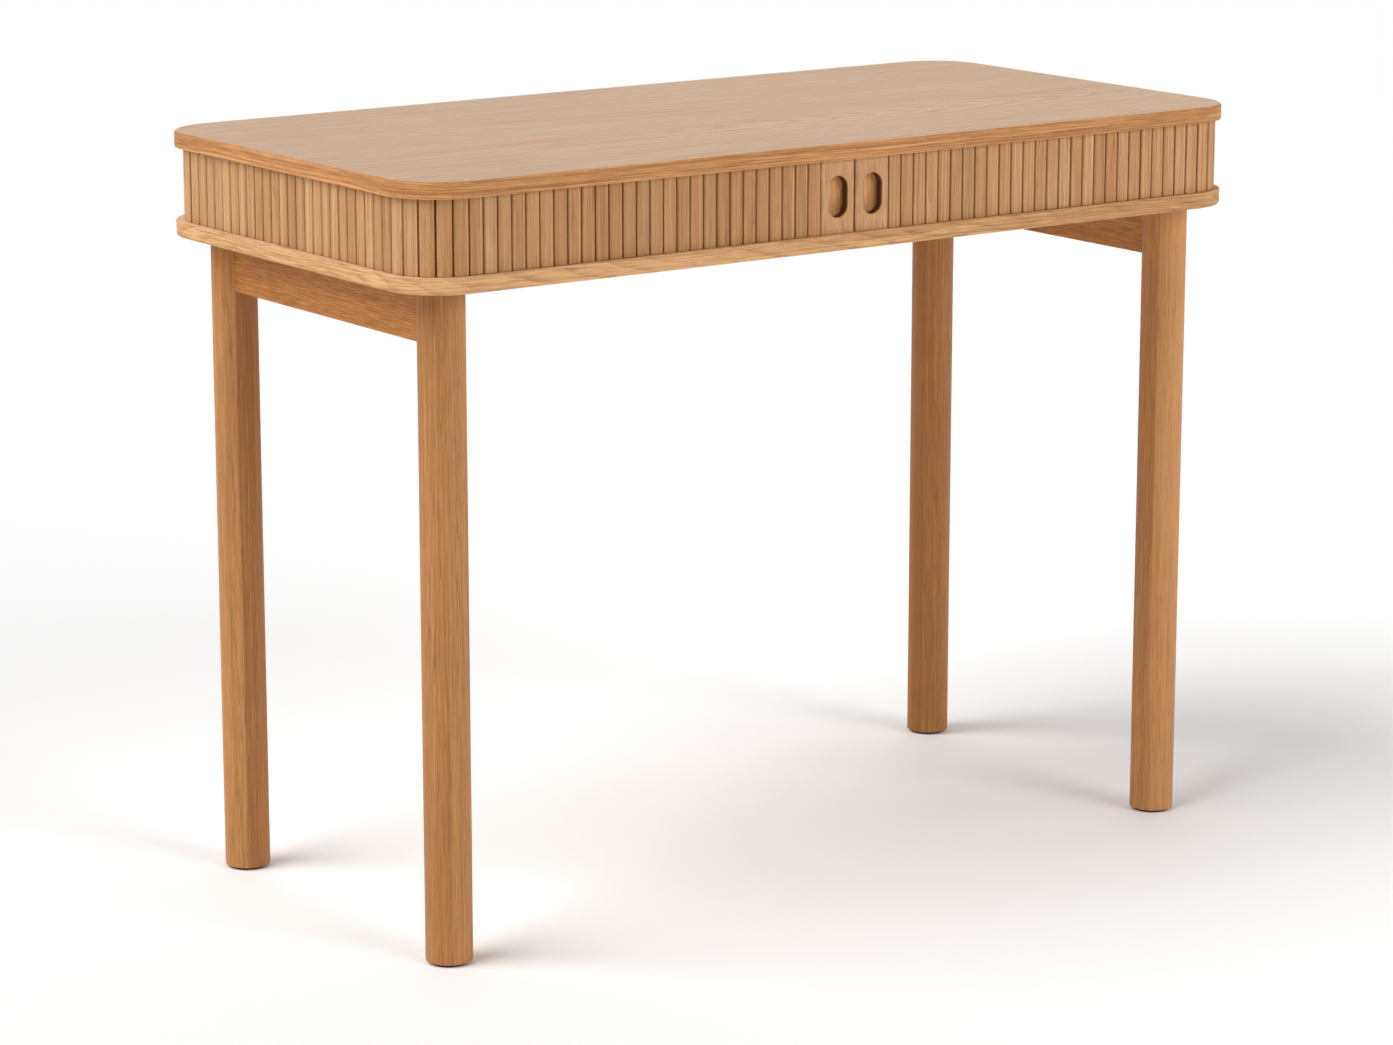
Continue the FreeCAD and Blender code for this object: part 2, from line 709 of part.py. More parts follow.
def rail(label, x):
    """Rail between the front and the rear leg of one side, scribed to the round legs."""
    body = new_body(label, x, "0", "rail_bottom")
    outline = new_sketch(body, "outline")
    rectangle(outline, "-rail_thickness / 2", "rail_thickness / 2", "-leg_y", "leg_y")
    pad(body, outline, "rail_height")
    round_edges(body, "lower_round", "rail_edge_round",
                lambda box: box.ZMax < TOUCH and box.XLength < TOUCH)
    copes = new_sketch(body, "copes")
    circles(copes, [("0", "-leg_y"), ("0", "leg_y")], "leg_diameter + 2 * cope_clearance")
    pocket(body, copes, "rail_height", True)
    for name, side, reverse in (("rear_holes", "-", False), ("front_holes", "", True)):
        start = side + "(rail_end - rail_dowel_in_rail - hole_spare)"
        holes = new_sketch(body, name, start, "XZ_Plane")
        circles(holes, [("0", "rail_height / 2 %s rail_dowel_spacing / 2" % sign) for sign in "+-"],
                "rail_dowel_hole")
        pocket(body, holes, "rail_dowel_in_rail + hole_spare + overrun", reverse)
    spots = [("0", y) for y in RAIL_SCREW_Y]
    clearance_holes = new_sketch(body, "screw_holes")
    circles(clearance_holes, spots, "screw_hole")
    pocket(body, clearance_holes, "rail_height", True)
    counterbores = new_sketch(body, "counterbores")
    circles(counterbores, spots, "counterbore_diameter")
    pocket(body, counterbores, "rail_height - screw_grip", True)


def rails():
    """Both side rails and the dowels that join them to the legs."""
    rail("left_rail", "-leg_x")
    rail("right_rail", "leg_x")
    dowels = new_body("rail_dowels")
    section = new_sketch(dowels, "section", "rail_end + rail_dowel_in_leg", "XZ_Plane")
    circles(section, [(x, "rail_middle %s rail_dowel_spacing / 2" % sign)
                      for x in ("-leg_x", "leg_x") for sign in "+-"], "rail_dowel_diameter")
    front = pad(dowels, section, "rail_dowel_in_leg + rail_dowel_in_rail", True)
    mirror = dowels.newObject("PartDesign::Mirrored", "rail_dowels_mirror")
    mirror.Originals = [front]
    mirror.MirrorPlane = (origin_feature(dowels, "XZ_Plane"), [""])
    dowels.Tip = mirror
    doc.recompute()


def frame_fasteners():
    """Hanger bolts in the legs, their inserts in the bottom board, and the screws through the rails."""
    bolts = new_body("leg_bolts", z="underside - bolt_in_leg")
    section = new_sketch(bolts, "section")
    circles(section, LEG_SPOTS.values(), "bolt_diameter")
    pad(bolts, section, "bolt_in_leg + bolt_in_board")
    inserts = new_body("leg_inserts", z="underside")
    section = new_sketch(inserts, "section")
    circles(section, LEG_SPOTS.values(), "insert_diameter")
    circles(section, LEG_SPOTS.values(), "bolt_hole")
    pad(inserts, section, "insert_length")
    screws = new_body("rail_screws", z="screw_seat")
    spots = [(x, y) for x in ("-leg_x", "leg_x") for y in RAIL_SCREW_Y]
    shanks = new_sketch(screws, "shanks")
    circles(shanks, spots, "screw_diameter")
    pad(screws, shanks, "screw_grip + screw_in_board")
    heads = new_sketch(screws, "heads")
    circles(heads, spots, "screw_head_diameter")
    pad(screws, heads, "screw_head_height", True)


def check_model():
    """Stop if any object failed to build or any sub-part has no sound shape."""
    for item in doc.Objects:
        if "Invalid" in item.State or "Error" in item.State:
            raise RuntimeError("%s failed: %s" % (item.Name, item.State))
    for body in nodes:
        if body.Shape.isNull() or not body.Shape.isValid():
            raise RuntimeError("%s has no valid shape" % body.Label)


def write_parts():
    """Write each sub-part to its own file."""
    os.makedirs("parts", exist_ok=True)
    for body in nodes:
        body.Shape.exportStep("parts/%s.step" % body.Label)
        print(body.Label, len(body.Shape.Solids), "solids", round(body.Shape.Volume), "mm3")


top_board()
bottom_board()
liner()
carcase_dowels()
back_panel()
left_slats()
right_slats()
curtain_canvas()
lead_stiles()
door_stops()
legs()
rails()
frame_fasteners()
doc.recompute()
check_model()
write_parts()
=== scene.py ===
import math
import random

import bmesh
import bpy
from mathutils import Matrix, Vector


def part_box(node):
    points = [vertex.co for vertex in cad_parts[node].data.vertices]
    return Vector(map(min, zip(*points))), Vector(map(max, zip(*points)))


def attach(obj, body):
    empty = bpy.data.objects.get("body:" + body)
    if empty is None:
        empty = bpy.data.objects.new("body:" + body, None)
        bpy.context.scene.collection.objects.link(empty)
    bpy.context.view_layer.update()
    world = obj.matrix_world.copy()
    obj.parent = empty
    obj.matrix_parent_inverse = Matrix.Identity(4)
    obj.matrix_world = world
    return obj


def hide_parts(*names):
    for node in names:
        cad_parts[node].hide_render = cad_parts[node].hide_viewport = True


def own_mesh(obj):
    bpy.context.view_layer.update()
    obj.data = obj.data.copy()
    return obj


# Looks of a tambour desk, in metres, built around its solids: X runs along the front, Y to the back, Z up.
# The slats and their canvas are modelled here, and every other piece keeps its solid and gets a finish.

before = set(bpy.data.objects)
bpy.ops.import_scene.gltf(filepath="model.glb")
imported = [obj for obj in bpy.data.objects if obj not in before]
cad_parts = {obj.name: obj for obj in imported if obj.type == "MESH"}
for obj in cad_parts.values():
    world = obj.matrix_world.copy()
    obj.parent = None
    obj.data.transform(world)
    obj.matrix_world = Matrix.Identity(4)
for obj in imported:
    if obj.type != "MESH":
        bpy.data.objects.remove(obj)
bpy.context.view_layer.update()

# Each side of the desk and its sign along X
SIDES = {"left": -1, "right": 1}
QUARTER_TURN = math.pi / 2

# Slats: their tongues, their rounded front edges and how far one stands proud of the next
TONGUE_WIDTH = 0.008
TONGUE_THICKNESS = 0.004
TONGUE_LENGTH = 0.0055
SLAT_END_CLEARANCE = 0.0004
SLAT_ROUND_ACROSS = 0.0024
SLAT_ROUND_DEEP = 0.0014
SLAT_ROUND_STEPS = 5
SLAT_FLAT_MARGIN = 0.0004
SLAT_DEPTH_SPREAD = 0.00012

# Slats: how far tone and warmth vary, the tone that each side drifts to, and a slat's place in its timber
SLAT_TONE_SPREAD = 0.085
SLAT_WARMTH_SPREAD = 0.22
INNER_TONES = {"left": -0.26, "right": 0.0}
SLAT_TIMBER_LENGTH = 50.0
SLAT_PITH_SPREAD = 0.05
SLAT_PITH_DEPTHS = (0.02, 0.10)

# Hue and saturation of the coolest and the warmest slat
SLAT_HUES = (0.507, 0.493)
SLAT_SATURATIONS = (0.93, 1.07)

# Canvas behind the slats
CANVAS_CORNER_STEPS = 16

# Smooth shading ends at edges sharper than this, and points closer than this are one
SHARP_ANGLE = math.radians(35)
WELD = 1e-6

# Wood colours
SLAT_COLOUR = (0.513, 0.271, 0.111)
STILE_COLOUR = (0.558, 0.306, 0.138)
TOP_COLOUR = (0.490, 0.258, 0.103)
TOP_EDGE_COLOUR = (0.490, 0.208, 0.058)
BOTTOM_COLOUR = (0.63, 0.365, 0.162)
BOTTOM_EDGE_COLOUR = (0.540, 0.283, 0.116)
# The right rail is darker: partly its own timber, partly painted shade for its inner face under the desk
RAIL_COLOURS_AND_SHADE = {"left": (0.493, 0.197, 0.045), "right": (0.385, 0.160, 0.040)}
LEG_COLOUR = (0.426, 0.188, 0.061)
INNER_COLOUR = (0.54, 0.280, 0.110)

# How far the darkest and the palest wood leave its colour in red, green and blue, as powers of e
WOOD_REACH = (0.30, 0.375, 0.50)
TOP_REACH = (0.22, 0.38, 0.80)

# Middle of a noise and of a range of shades
MIDDLE = 0.5

# Noises in oak: their rate in a metre along, across and into the grain, their detail and their roughness
SWAY_NOISE = ((2.5, 14, 14), 2.0, 0.5)
WAVER_NOISE = ((4, 40, 40), 2.0, 0.5)
SWELL_NOISE = ((3.2, 9, 9), 2.0, 0.5)
PATCH_NOISE = ((5, 25, 25), 2.0, 0.5)
STREAK_NOISE = ((2.0, 250, 250), 3.0, 0.6)
LINE_NOISE = ((5, 600, 600), 2.0, 0.6)
FLECK_NOISE = ((38, 850, 850), 1.0, 0.5)
CLOUD_NOISE = ((3.5, 12, 12), 1.0, 0.5)
DASH_NOISE = ((5, 190, 190), 1.0, 0.5)
PORE_NOISE = ((45, 1500, 1500), 1.0, 0.5)

# Growth rings: they waver, show in patches, go from dark to pale, and fade on both sides of the heart
CROSSWISE = (0, 1, 1)
RING_WAVER = 1.2
PATCH_LEVELS = (0.38, 0.66)
FAINT_RING_SHARE = 0.15
DARK_RING_SHARE = 0.4
RING_SHADES = (-0.6, 0.25)
HEART_FADE_SHARE = 0.2

# Dashes, and pores that thin out through each growth ring
DASH_LEVELS = (0.60, 0.72)
PORE_LEVELS = (0.55, 0.68)
PORE_RING_SHARE = 0.5
LATE_PORE_SHARE = 0.2
PORE_SHADE = 0.62
LINE_RELIEF_SHARE = 0.4

# Figures of oak: how much its shades differ, the strength, rate, taper, curl, heart and swell of its rings,
# how far its grain sways, and the strength of its streaks, lines, flecks, clouds and dashes
PLAIN = {"contrast": 1.0, "reach": WOOD_REACH, "rings": 0.25, "ring_rate": 260.0, "taper": 6.0, "curl": 0.0,
         "heart": None, "swell": 0.0, "sway": 0.004, "streak": 0.9, "line": 1.1, "fleck": 0.9, "cloud": 0.5,
         "dash": 0.0}
SLAT = {**PLAIN, "ring_rate": 330.0, "streak": 1.0, "line": 1.6, "fleck": 0.35, "cloud": 0.15}
STILE = {**PLAIN, "rings": 0.1, "streak": 0.3, "line": 0.3, "fleck": 1.5, "cloud": 0.3}
TOP_FACE = {**PLAIN, "contrast": 1.1, "reach": TOP_REACH, "rings": 0.65, "ring_rate": 85.0, "taper": 4.0,
            "curl": 14.0, "heart": 0.035, "swell": 4.0, "sway": 0.02, "streak": 0.7, "line": 0.9,
            "fleck": 0.85, "cloud": 0.35, "dash": 0.55}
TOP_EDGE = {**PLAIN, "contrast": 1.2, "sway": 0.015, "streak": 1.4, "line": 1.6, "fleck": 1.2}
BOTTOM_FACE = {**TOP_FACE, "taper": 7.0, "curl": 0.0}
BOTTOM_EDGE = {**PLAIN, "contrast": 1.1, "rings": 0.42, "ring_rate": 75.0, "taper": 18.0, "swell": 4.0,
               "sway": 0.03, "streak": 1.0, "line": 1.5, "fleck": 1.2, "cloud": 0.35}
RAIL = {**PLAIN, "line": 0.6, "fleck": 2.2, "cloud": 0.8}
LEG = {**PLAIN, "ring_rate": 280.0, "streak": 0.75}

# Place of each piece in its timber: along, across and into the grain
TOP_CUT = (0.3, 0.086, 0.016)
BOTTOM_CUT = (7.1, -0.03, 0.07)
STILE_CUTS = {"left": (3.0, 0.05, 0.40), "right": (9.0, 0.02, 0.44)}
RAIL_CUTS = {"left": (2.0, -0.6, 0.50), "right": (5.0, -0.6, -0.38)}
BACK_CUT = (4.0, -0.6, -0.1)
INNER_CUT = (6.0, -0.6, 0.1)

# Lacquer: roughness, gloss, how rough it gets in the pores, and the strength and depth of the grain's relief
WOOD_ROUGHNESS = 0.5
WOOD_GLOSS = 0.2
PORE_RELIEF = (-1.0, 0.1)
PORE_ROUGHNESS = 0.2
GRAIN_BUMP = (0.25, 0.0002)

# Boards: how level the skin is where the edge band ends and the face begins, and the tones from left to right
LEVEL_SKIN = (0.80, 0.92)
EDGE_ROUGHNESS = 0.6
TOP_ROUGHNESS = 0.3
TOP_GLOSS = 0.5
EVEN_TONES = (0.0, 0.0)
BOTTOM_TONES = (0.24, -0.14)

# Reddish streak in the veneer of the top: its middle, half its size, its tint, its fading and its torn edge
TOP_MARK_PLACE = (-0.25, -0.062)
TOP_MARK_SIZE = (0.07, 0.014)
TOP_MARK_TINT = (1.0, 0.77, 0.53)
TOP_MARK_FADE = (1.0, 0.3)
TOP_MARK_NOISE = ((25, 160, 1), 3.0, 0.5)
ANY_HEIGHT = 1e3

# Lead stiles: painted shade on their sides, and how squarely a skin faces front where sides and pull walls
# begin
STILE_SIDE_PAINTED_SHADE = (0.62, 0.50, 0.40)
SIDE_FACING = (0.6, 0.2)
WALL_FACING = (0.85, 0.2)

# Finger pulls: half the width that holds one, half its floor's width, where its rim ends, and its painted
# light and shade: the floor lit on its left, shaded towards its right, and its walls in shade
PULL_REACH = 0.016
PULL_FLOOR_HALF = 0.009
PULL_RIM_DEPTH = (0.0008, 0.003)
# Painted light on the left of the pull's floor and painted shade on its right
PULL_FLOOR_PAINTED_LIGHT = (1.38, 1.38, 1.36, 1)
PULL_FLOOR_PAINTED_SHADE = (0.95, 0.80, 0.62, 1)
# Painted shade: a near-black colour on the pull's walls
PULL_WALL_PAINTED_SHADE = (0.10, 0.045, 0.014, 1)
UNTINTED = (1, 1, 1, 1)

# Legs: turn of the glue joint, how far apart legs and staves lay in the timber, and where across it
STAVE_TURN = 0.62
LEG_STEP = 3.7
STAVE_STEP = (7.3, 0.05, 0.04)
LEG_PITH = (0.01, 0.03)

# Each leg's glue joint, off its middle, and the tones of the staves on both sides of it, partly wood tone and
# partly painted light and shade: lighter on outer sides, darker on sides facing in under the desk and on the
# rear right leg
LEG_STAVES = {
    ("front", "left"): (0.005, -0.10, 0.10),
    ("front", "right"): (-0.007, 0.08, 0.38),
    ("rear", "left"): (0.003, 0.08, -0.40),
    ("rear", "right"): (-0.008, -0.55, -0.25),
}

# Small parts: colour, roughness and metal
BLACK_PLASTIC = ((0.012, 0.012, 0.012), 0.5, 0.0)
BEECH = ((0.60, 0.42, 0.26), 0.6, 0.0)
ZINC = ((0.62, 0.62, 0.60), 0.35, 1.0)
BRASS = ((0.66, 0.50, 0.24), 0.35, 1.0)
RUBBER = ((0.02, 0.02, 0.02), 0.8, 0.0)

# Mottle of the small parts: its noise, its contrast, where its shades lie, its roughness and its bump
MOTTLE_NOISE = ((900.0, 900.0, 900.0), 2.0, 0.5)
MOTTLE_CONTRAST = 0.12
MOTTLE_LEVELS = (0.3, 0.7)
MOTTLE_ROUGHNESS = 0.08
MOTTLE_BUMP = (0.1, 0.0001)

# Canvas colours and yarns
CANVAS_DARK = (0.13, 0.058, 0.022)
CANVAS_LIGHT = (0.27, 0.13, 0.052)
CANVAS_ROUGHNESS = 0.9
CANVAS_BUMP = (0.5, 0.0002)
YARN_PITCH = 0.0011
YARN_RATE = 2 * math.pi / YARN_PITCH

# Floor and surroundings; the backdrop fades in between two cosines of the angle from its middle
FLOOR_SIZE = 60.0
FLOOR_COLOUR = (0.90, 0.90, 0.90, 1)
FLOOR_ROUGHNESS = 0.7
SKY_COLOUR = (1.0, 1.0, 1.0, 1)
SKY_STRENGTH = 0.05
BACKDROP_TOWARDS = (0.57, 0.79, 0.22)
BACKDROP_STRENGTH = 0.79
BACKDROP_COSINES = (0.35, 0.75)

# Lights
KEY_TOWARDS = (0.25, -0.97, 0.55)
KEY_STRENGTH = 1.2
KEY_SPREAD = math.radians(30)
SIDE_TOWARDS = (-0.98, 0.17, 1.05)
SIDE_STRENGTH = 3.1
SIDE_SPREAD = math.radians(50)
FILL_PLACE = (2.0, -1.5, 0.9)
FILL_AIM = (0.45, -0.2, 0.4)
FILL_SIZE = 1.4
FILL_POWER = 9.5

# Camera of the photo: where it stands, which way it turns from +Y towards +X, and how far it tilts down
CAMERA_PLACE = (-2.572, -3.5627, 1.3279)
CAMERA_TURN = 0.62224
CAMERA_TILT = 0.2223
CAMERA_LENS = 113.32
SENSOR_WIDTH = 36.0


# Places taken from the frame

def solids(node):
    """Lowest and highest corner of each separate solid of a CAD node."""
    mesh = bmesh.new()
    mesh.from_mesh(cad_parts[node].data)
    bmesh.ops.remove_doubles(mesh, verts=mesh.verts, dist=WELD)
    waiting = set(mesh.verts)
    boxes = []
    while waiting:
        reached = [waiting.pop()]
        for vert in reached:
            for edge in vert.link_edges:
                other = edge.other_vert(vert)
                if other in waiting:
                    waiting.remove(other)
                    reached.append(other)
        low = Vector(min(vert.co[axis] for vert in reached) for axis in range(3))
        high = Vector(max(vert.co[axis] for vert in reached) for axis in range(3))
        boxes.append((low, high))
    mesh.free()
    return sorted(boxes, key=lambda box: (*box[0],))


CASE_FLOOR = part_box("bottom_board")[1].z
CASE_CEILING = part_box("top_board")[0].z
HALF_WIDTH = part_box("top_board")[1].x
HALF_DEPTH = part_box("top_board")[1].y
CORNER_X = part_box("right_front_canvas")[1].x
FACE_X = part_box("right_side_slats")[1].x
FACE_RADIUS = FACE_X - CORNER_X
FRONT_FACE_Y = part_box("right_front_slats")[0].y
REAR_FACE_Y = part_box("right_tail_slats")[1].y
FRONT_CENTRE_Y = FRONT_FACE_Y + FACE_RADIUS
REAR_CENTRE_Y = REAR_FACE_Y - FACE_RADIUS
FIRST_SLAT = solids("right_front_slats")[0]
SLAT_WIDTH = FIRST_SLAT[1].x - FIRST_SLAT[0].x
SLAT_THICKNESS = FIRST_SLAT[1].y - FIRST_SLAT[0].y


# Meshes

def new_piece(name, points, faces, material):
    """An object from points and faces, with outward normals and smooth shading up to sharp edges."""
    mesh = bpy.data.meshes.new(name)
    mesh.from_pydata(points, [], faces)
    shape = bmesh.new()
    shape.from_mesh(mesh)
    bmesh.ops.recalc_face_normals(shape, faces=shape.faces)
    shape.to_mesh(mesh)
    shape.free()
    mesh.polygons.foreach_set("use_smooth", [True] * len(mesh.polygons))
    mesh.set_sharp_from_angle(angle=SHARP_ANGLE)
    mesh.materials.append(material)
    piece = bpy.data.objects.new(name, mesh)
    bpy.context.scene.collection.objects.link(piece)
    return piece


def loft(loops, first):
    """Faces of a closed skin through loops of equally many points, which are numbered from first on."""
    size = len(loops[0])
    faces = [tuple(range(first, first + size))]
    for step in range(len(loops) - 1):
        low = first + step * size
        high = low + size
        for index in range(size):
            after = (index + 1) % size
            faces.append((low + index, low + after, high + after, high + index))
    last = first + (len(loops) - 1) * size
    faces.append(tuple(range(last, last + size)))
    return faces


def slat_section():
    """Cross section of a slat: across its width, and inwards from its face."""
    half = SLAT_WIDTH / 2
    edge = [(half, SLAT_ROUND_DEEP + SLAT_FLAT_MARGIN)]
    for step in range(SLAT_ROUND_STEPS + 1):
        angle = QUARTER_TURN * step / SLAT_ROUND_STEPS
        across = half - SLAT_ROUND_ACROSS * (1 - math.cos(angle))
        edge.append((across, SLAT_ROUND_DEEP * (1 - math.sin(angle))))
    edge.append((half - SLAT_ROUND_ACROSS - SLAT_FLAT_MARGIN, 0))
    right = [(half, SLAT_THICKNESS)] + edge
    return right + [(-across, inward) for across, inward in reversed(right)]


def tongue_section():
    """Cross section of the tongue at each end of a slat."""
    wide = TONGUE_WIDTH / SLAT_WIDTH
    deep = TONGUE_THICKNESS / SLAT_THICKNESS
    middle = SLAT_THICKNESS / 2
    return [(across * wide, middle + (inward - middle) * deep) for across, inward in slat_section()]


def slat_loops():
    """Loops of one slat from its lower tongue to its upper tongue, each point with its height."""
    slat, tongue = slat_section(), tongue_section()
    foot = CASE_FLOOR + SLAT_END_CLEARANCE
    head = CASE_CEILING - SLAT_END_CLEARANCE
    levels = ((tongue, CASE_FLOOR - TONGUE_LENGTH), (tongue, foot), (slat, foot),
              (slat, head), (tongue, head), (tongue, CASE_CEILING + TONGUE_LENGTH))
    return [[(across, inward, height) for across, inward in section] for section, height in levels]


def slat_group(name, places, inner_tone, material):
    """Slats as one piece; a place is the middle of a slat's face and the angle that it faces.

    Each slat carries its own tone and its own place in the timber: along, across and into the grain.
    The tones shift towards the middle of the front, where they come near the inner tone.
    """
    chance = random.Random(name)
    loops = slat_loops()
    points, faces, grain, tones = [], [], [], []
    for x, y, angle in places:
        outward = Vector((math.cos(angle), math.sin(angle), 0))
        aside = Vector((-outward.y, outward.x, 0))
        proud = chance.uniform(0, SLAT_DEPTH_SPREAD)
        drift = inner_tone * max(0.0, 1 - abs(x) / CORNER_X)
        tone = (chance.gauss(drift, SLAT_TONE_SPREAD), chance.gauss(0, SLAT_WARMTH_SPREAD), 0.0)
        cut = Vector((chance.uniform(0, SLAT_TIMBER_LENGTH), chance.gauss(0, SLAT_PITH_SPREAD),
                      chance.uniform(*SLAT_PITH_DEPTHS)))
        faces += loft(loops, len(points))
        for across, inward, height in (point for loop in loops for point in loop):
            spot = Vector((x, y, 0)) + aside * across - outward * (inward - proud)
            points.append((spot.x, spot.y, height))
            grain.append(cut + Vector((height, across, inward)))
            tones.append(tone)
    piece = new_piece(name, points, faces, material)
    vectors = piece.data.attributes.new("grain", "FLOAT_VECTOR", "POINT")
    vectors.data.foreach_set("vector", [value for place in grain for value in place])
    shades = piece.data.attributes.new("tone", "FLOAT_VECTOR", "POINT")
    shades.data.foreach_set("vector", [value for tone in tones for value in tone])
    return piece


def row_places(node, axis, face, angle):
    """Places of the slats of a straight row along an axis."""
    places = []
    for low, high in solids(node):
        middle = (low[axis] + high[axis]) / 2
        places.append((middle, face, angle) if axis == 0 else (face, middle, angle))
    return places


def fan_places(node, centre_x, centre_y, start):
    """Places of the slats that stand round a quarter circle, from the angle where it starts."""
    count = len(solids(node))
    places = []
    for index in range(count):
        angle = start + QUARTER_TURN * (index + 0.5) / count
        x = centre_x + FACE_RADIUS * math.cos(angle)
        y = centre_y + FACE_RADIUS * math.sin(angle)
        places.append((x, y, angle))
    return places


def curtain(side, sign, material):
    """All slats of one curtain, from the lead stile round the corners to the tail, in five pieces."""
    outward = 0 if sign > 0 else math.pi
    front_start = -QUARTER_TURN if sign > 0 else -math.pi
    rear_start = 0 if sign > 0 else QUARTER_TURN
    groups = {
        "front": row_places(side + "_front_slats", 0, FRONT_FACE_Y, -QUARTER_TURN),
        "corner": fan_places(side + "_corner_slats", sign * CORNER_X, FRONT_CENTRE_Y, front_start),
        "side": row_places(side + "_side_slats", 1, sign * FACE_X, outward),
        "rear": fan_places(side + "_rear_slats", sign * CORNER_X, REAR_CENTRE_Y, rear_start),
        "tail": row_places(side + "_tail_slats", 0, REAR_FACE_Y, QUARTER_TURN),
    }
    pieces = {}
    for group, places in groups.items():
        piece = slat_group("%s_%s_slat_strips" % (side, group), places, INNER_TONES[side], material)
        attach(piece, "case")
        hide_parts("%s_%s_slats" % (side, group))
        pieces[group] = piece
    return pieces


def ribbon(name, path, material, thickness, low, high):
    """A band of cloth along a path of points and outward directions, with its thickness inwards."""
    loops = []
    for outer, outward in path:
        inner = outer - outward * thickness
        corners = ((outer, low), (outer, high), (inner, high), (inner, low))
        loops.append([(spot.x, spot.y, height) for spot, height in corners])
    points = [point for loop in loops for point in loop]
    return new_piece(name, points, loft(loops, 0), material)


def quarter_path(centre_x, centre_y, radius, start, turn):
    """Points and outward directions round a quarter circle."""
    path = []
    for step in range(CANVAS_CORNER_STEPS + 1):
        angle = start + turn * QUARTER_TURN * step / CANVAS_CORNER_STEPS
        outward = Vector((math.cos(angle), math.sin(angle), 0))
        path.append((Vector((centre_x, centre_y, 0)) + outward * radius, outward))
    return path


def curtain_canvas(side, sign, material):
    """Canvas glued behind the slats: one band behind the front row, one round the corners to the tail."""
    low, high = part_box(side + "_front_canvas")
    thickness = high.y - low.y
    radius = FACE_RADIUS - SLAT_THICKNESS
    forward = Vector((0, -1, 0))
    front_path = [(Vector((low.x, low.y, 0)), forward), (Vector((high.x, low.y, 0)), forward)]
    front = ribbon(side + "_front_canvas_band", front_path, material, thickness, low.z, high.z)
    side_low, side_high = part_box(side + "_side_canvas")
    tail_x = side_high.x if sign < 0 else side_low.x
    backward = Vector((0, 1, 0))
    path = quarter_path(sign * CORNER_X, FRONT_CENTRE_Y, radius, -QUARTER_TURN, sign)
    path += quarter_path(sign * CORNER_X, REAR_CENTRE_Y, radius, QUARTER_TURN - sign * QUARTER_TURN, sign)
    path.append((Vector((tail_x, REAR_CENTRE_Y + radius, 0)), backward))
    rest = ribbon(side + "_side_canvas_band", path, material, thickness, side_low.z, side_high.z)
    around = math.pi * radius + (REAR_CENTRE_Y - FRONT_CENTRE_Y) + abs(tail_x - sign * CORNER_X)
    for band, length, node, behind in ((front, high.x - low.x, "_front_canvas", ("front",)),
                                       (rest, around, "_side_canvas", ("corner", "side", "rear", "tail"))):
        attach(band, "case")
        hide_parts(side + node)
    return front


def gives_way(piece):
    """Give a piece at the front a mesh of its own."""
    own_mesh(piece)


# Finishes

class Paint:
    """Adds linked shader nodes to one material."""

    def __init__(self, name):
        self.material = bpy.data.materials.new(name)
        self.material.use_nodes = True
        self.tree = self.material.node_tree
        self.shader = self.tree.nodes["Principled BSDF"]

    def feed(self, socket, value):
        if isinstance(value, bpy.types.NodeSocket):
            self.tree.links.new(value, socket)
        else:
            socket.default_value = value

    def add(self, kind, values, **settings):
        node = self.tree.nodes.new(kind)
        for key, value in settings.items():
            setattr(node, key, value)
        for key, value in values.items():
            self.feed(node.inputs[key], value)
        return node

    def math(self, operation, *values):
        return self.add("ShaderNodeMath", dict(enumerate(values)), operation=operation).outputs[0]

    def vector(self, operation, *values):
        node = self.add("ShaderNodeVectorMath", dict(enumerate(values)), operation=operation)
        return node.outputs["Value" if operation == "LENGTH" else "Vector"]

    def split(self, vector):
        return self.add("ShaderNodeSeparateXYZ", {0: vector}).outputs

    def join(self, x, y, z):
        return self.add("ShaderNodeCombineXYZ", {0: x, 1: y, 2: z}).outputs[0]

    def place(self):
        return self.add("ShaderNodeTexCoord", {}).outputs["Object"]

    def normal(self):
        return self.split(self.add("ShaderNodeNewGeometry", {}).outputs["Normal"])

    def carried(self, name):
        return self.add("ShaderNodeAttribute", {}, attribute_name=name).outputs["Vector"]

    def noise(self, vector, rate, detail, roughness):
        values = {"Vector": self.vector("MULTIPLY", vector, rate), "Scale": 1.0,
                  "Detail": detail, "Roughness": roughness}
        return self.add("ShaderNodeTexNoise", values).outputs["Fac"]

    def swing(self, vector, *noise):
        return self.math("SUBTRACT", self.noise(vector, *noise), MIDDLE)

    def spread(self, value, low, high, to_low=0.0, to_high=1.0):
        values = {"Value": value, "From Min": low, "From Max": high, "To Min": to_low, "To Max": to_high}
        return self.add("ShaderNodeMapRange", values).outputs["Result"]

    def ramp(self, value, stops):
        node = self.add("ShaderNodeValToRGB", {"Fac": value})
        marks = node.color_ramp.elements
        while len(marks) < len(stops):
            marks.new(MIDDLE)
        for mark, (place, colour) in zip(marks, stops):
            mark.position = place
            mark.color = (*colour, 1)
        return node.outputs["Color"]

    def mix(self, share, first, second, kind="RGBA"):
        node = self.add("ShaderNodeMix", {"Factor": share}, data_type=kind)
        ends = [socket for socket in node.inputs if socket.enabled and socket.name in ("A", "B")]
        self.feed(ends[0], first)
        self.feed(ends[1], second)
        return next(socket for socket in node.outputs if socket.enabled)

    def bump(self, height, strength, distance):
        values = {"Height": height, "Strength": strength, "Distance": distance}
        return self.add("ShaderNodeBump", values).outputs[0]

    def finish(self, colour, roughness, normal):
        self.feed(self.shader.inputs["Base Color"], colour)
        self.feed(self.shader.inputs["Roughness"], roughness)
        self.feed(self.shader.inputs["Normal"], normal)
        return self.material


def shades_of(colour, contrast, reach):
    """A darker, redder and a lighter, paler shade of a wood colour."""
    dark = [value * math.exp(-contrast * far) for value, far in zip(colour, reach)]
    light = [min(1.0, value * math.exp(contrast * far)) for value, far in zip(colour, reach)]
    return dark, light


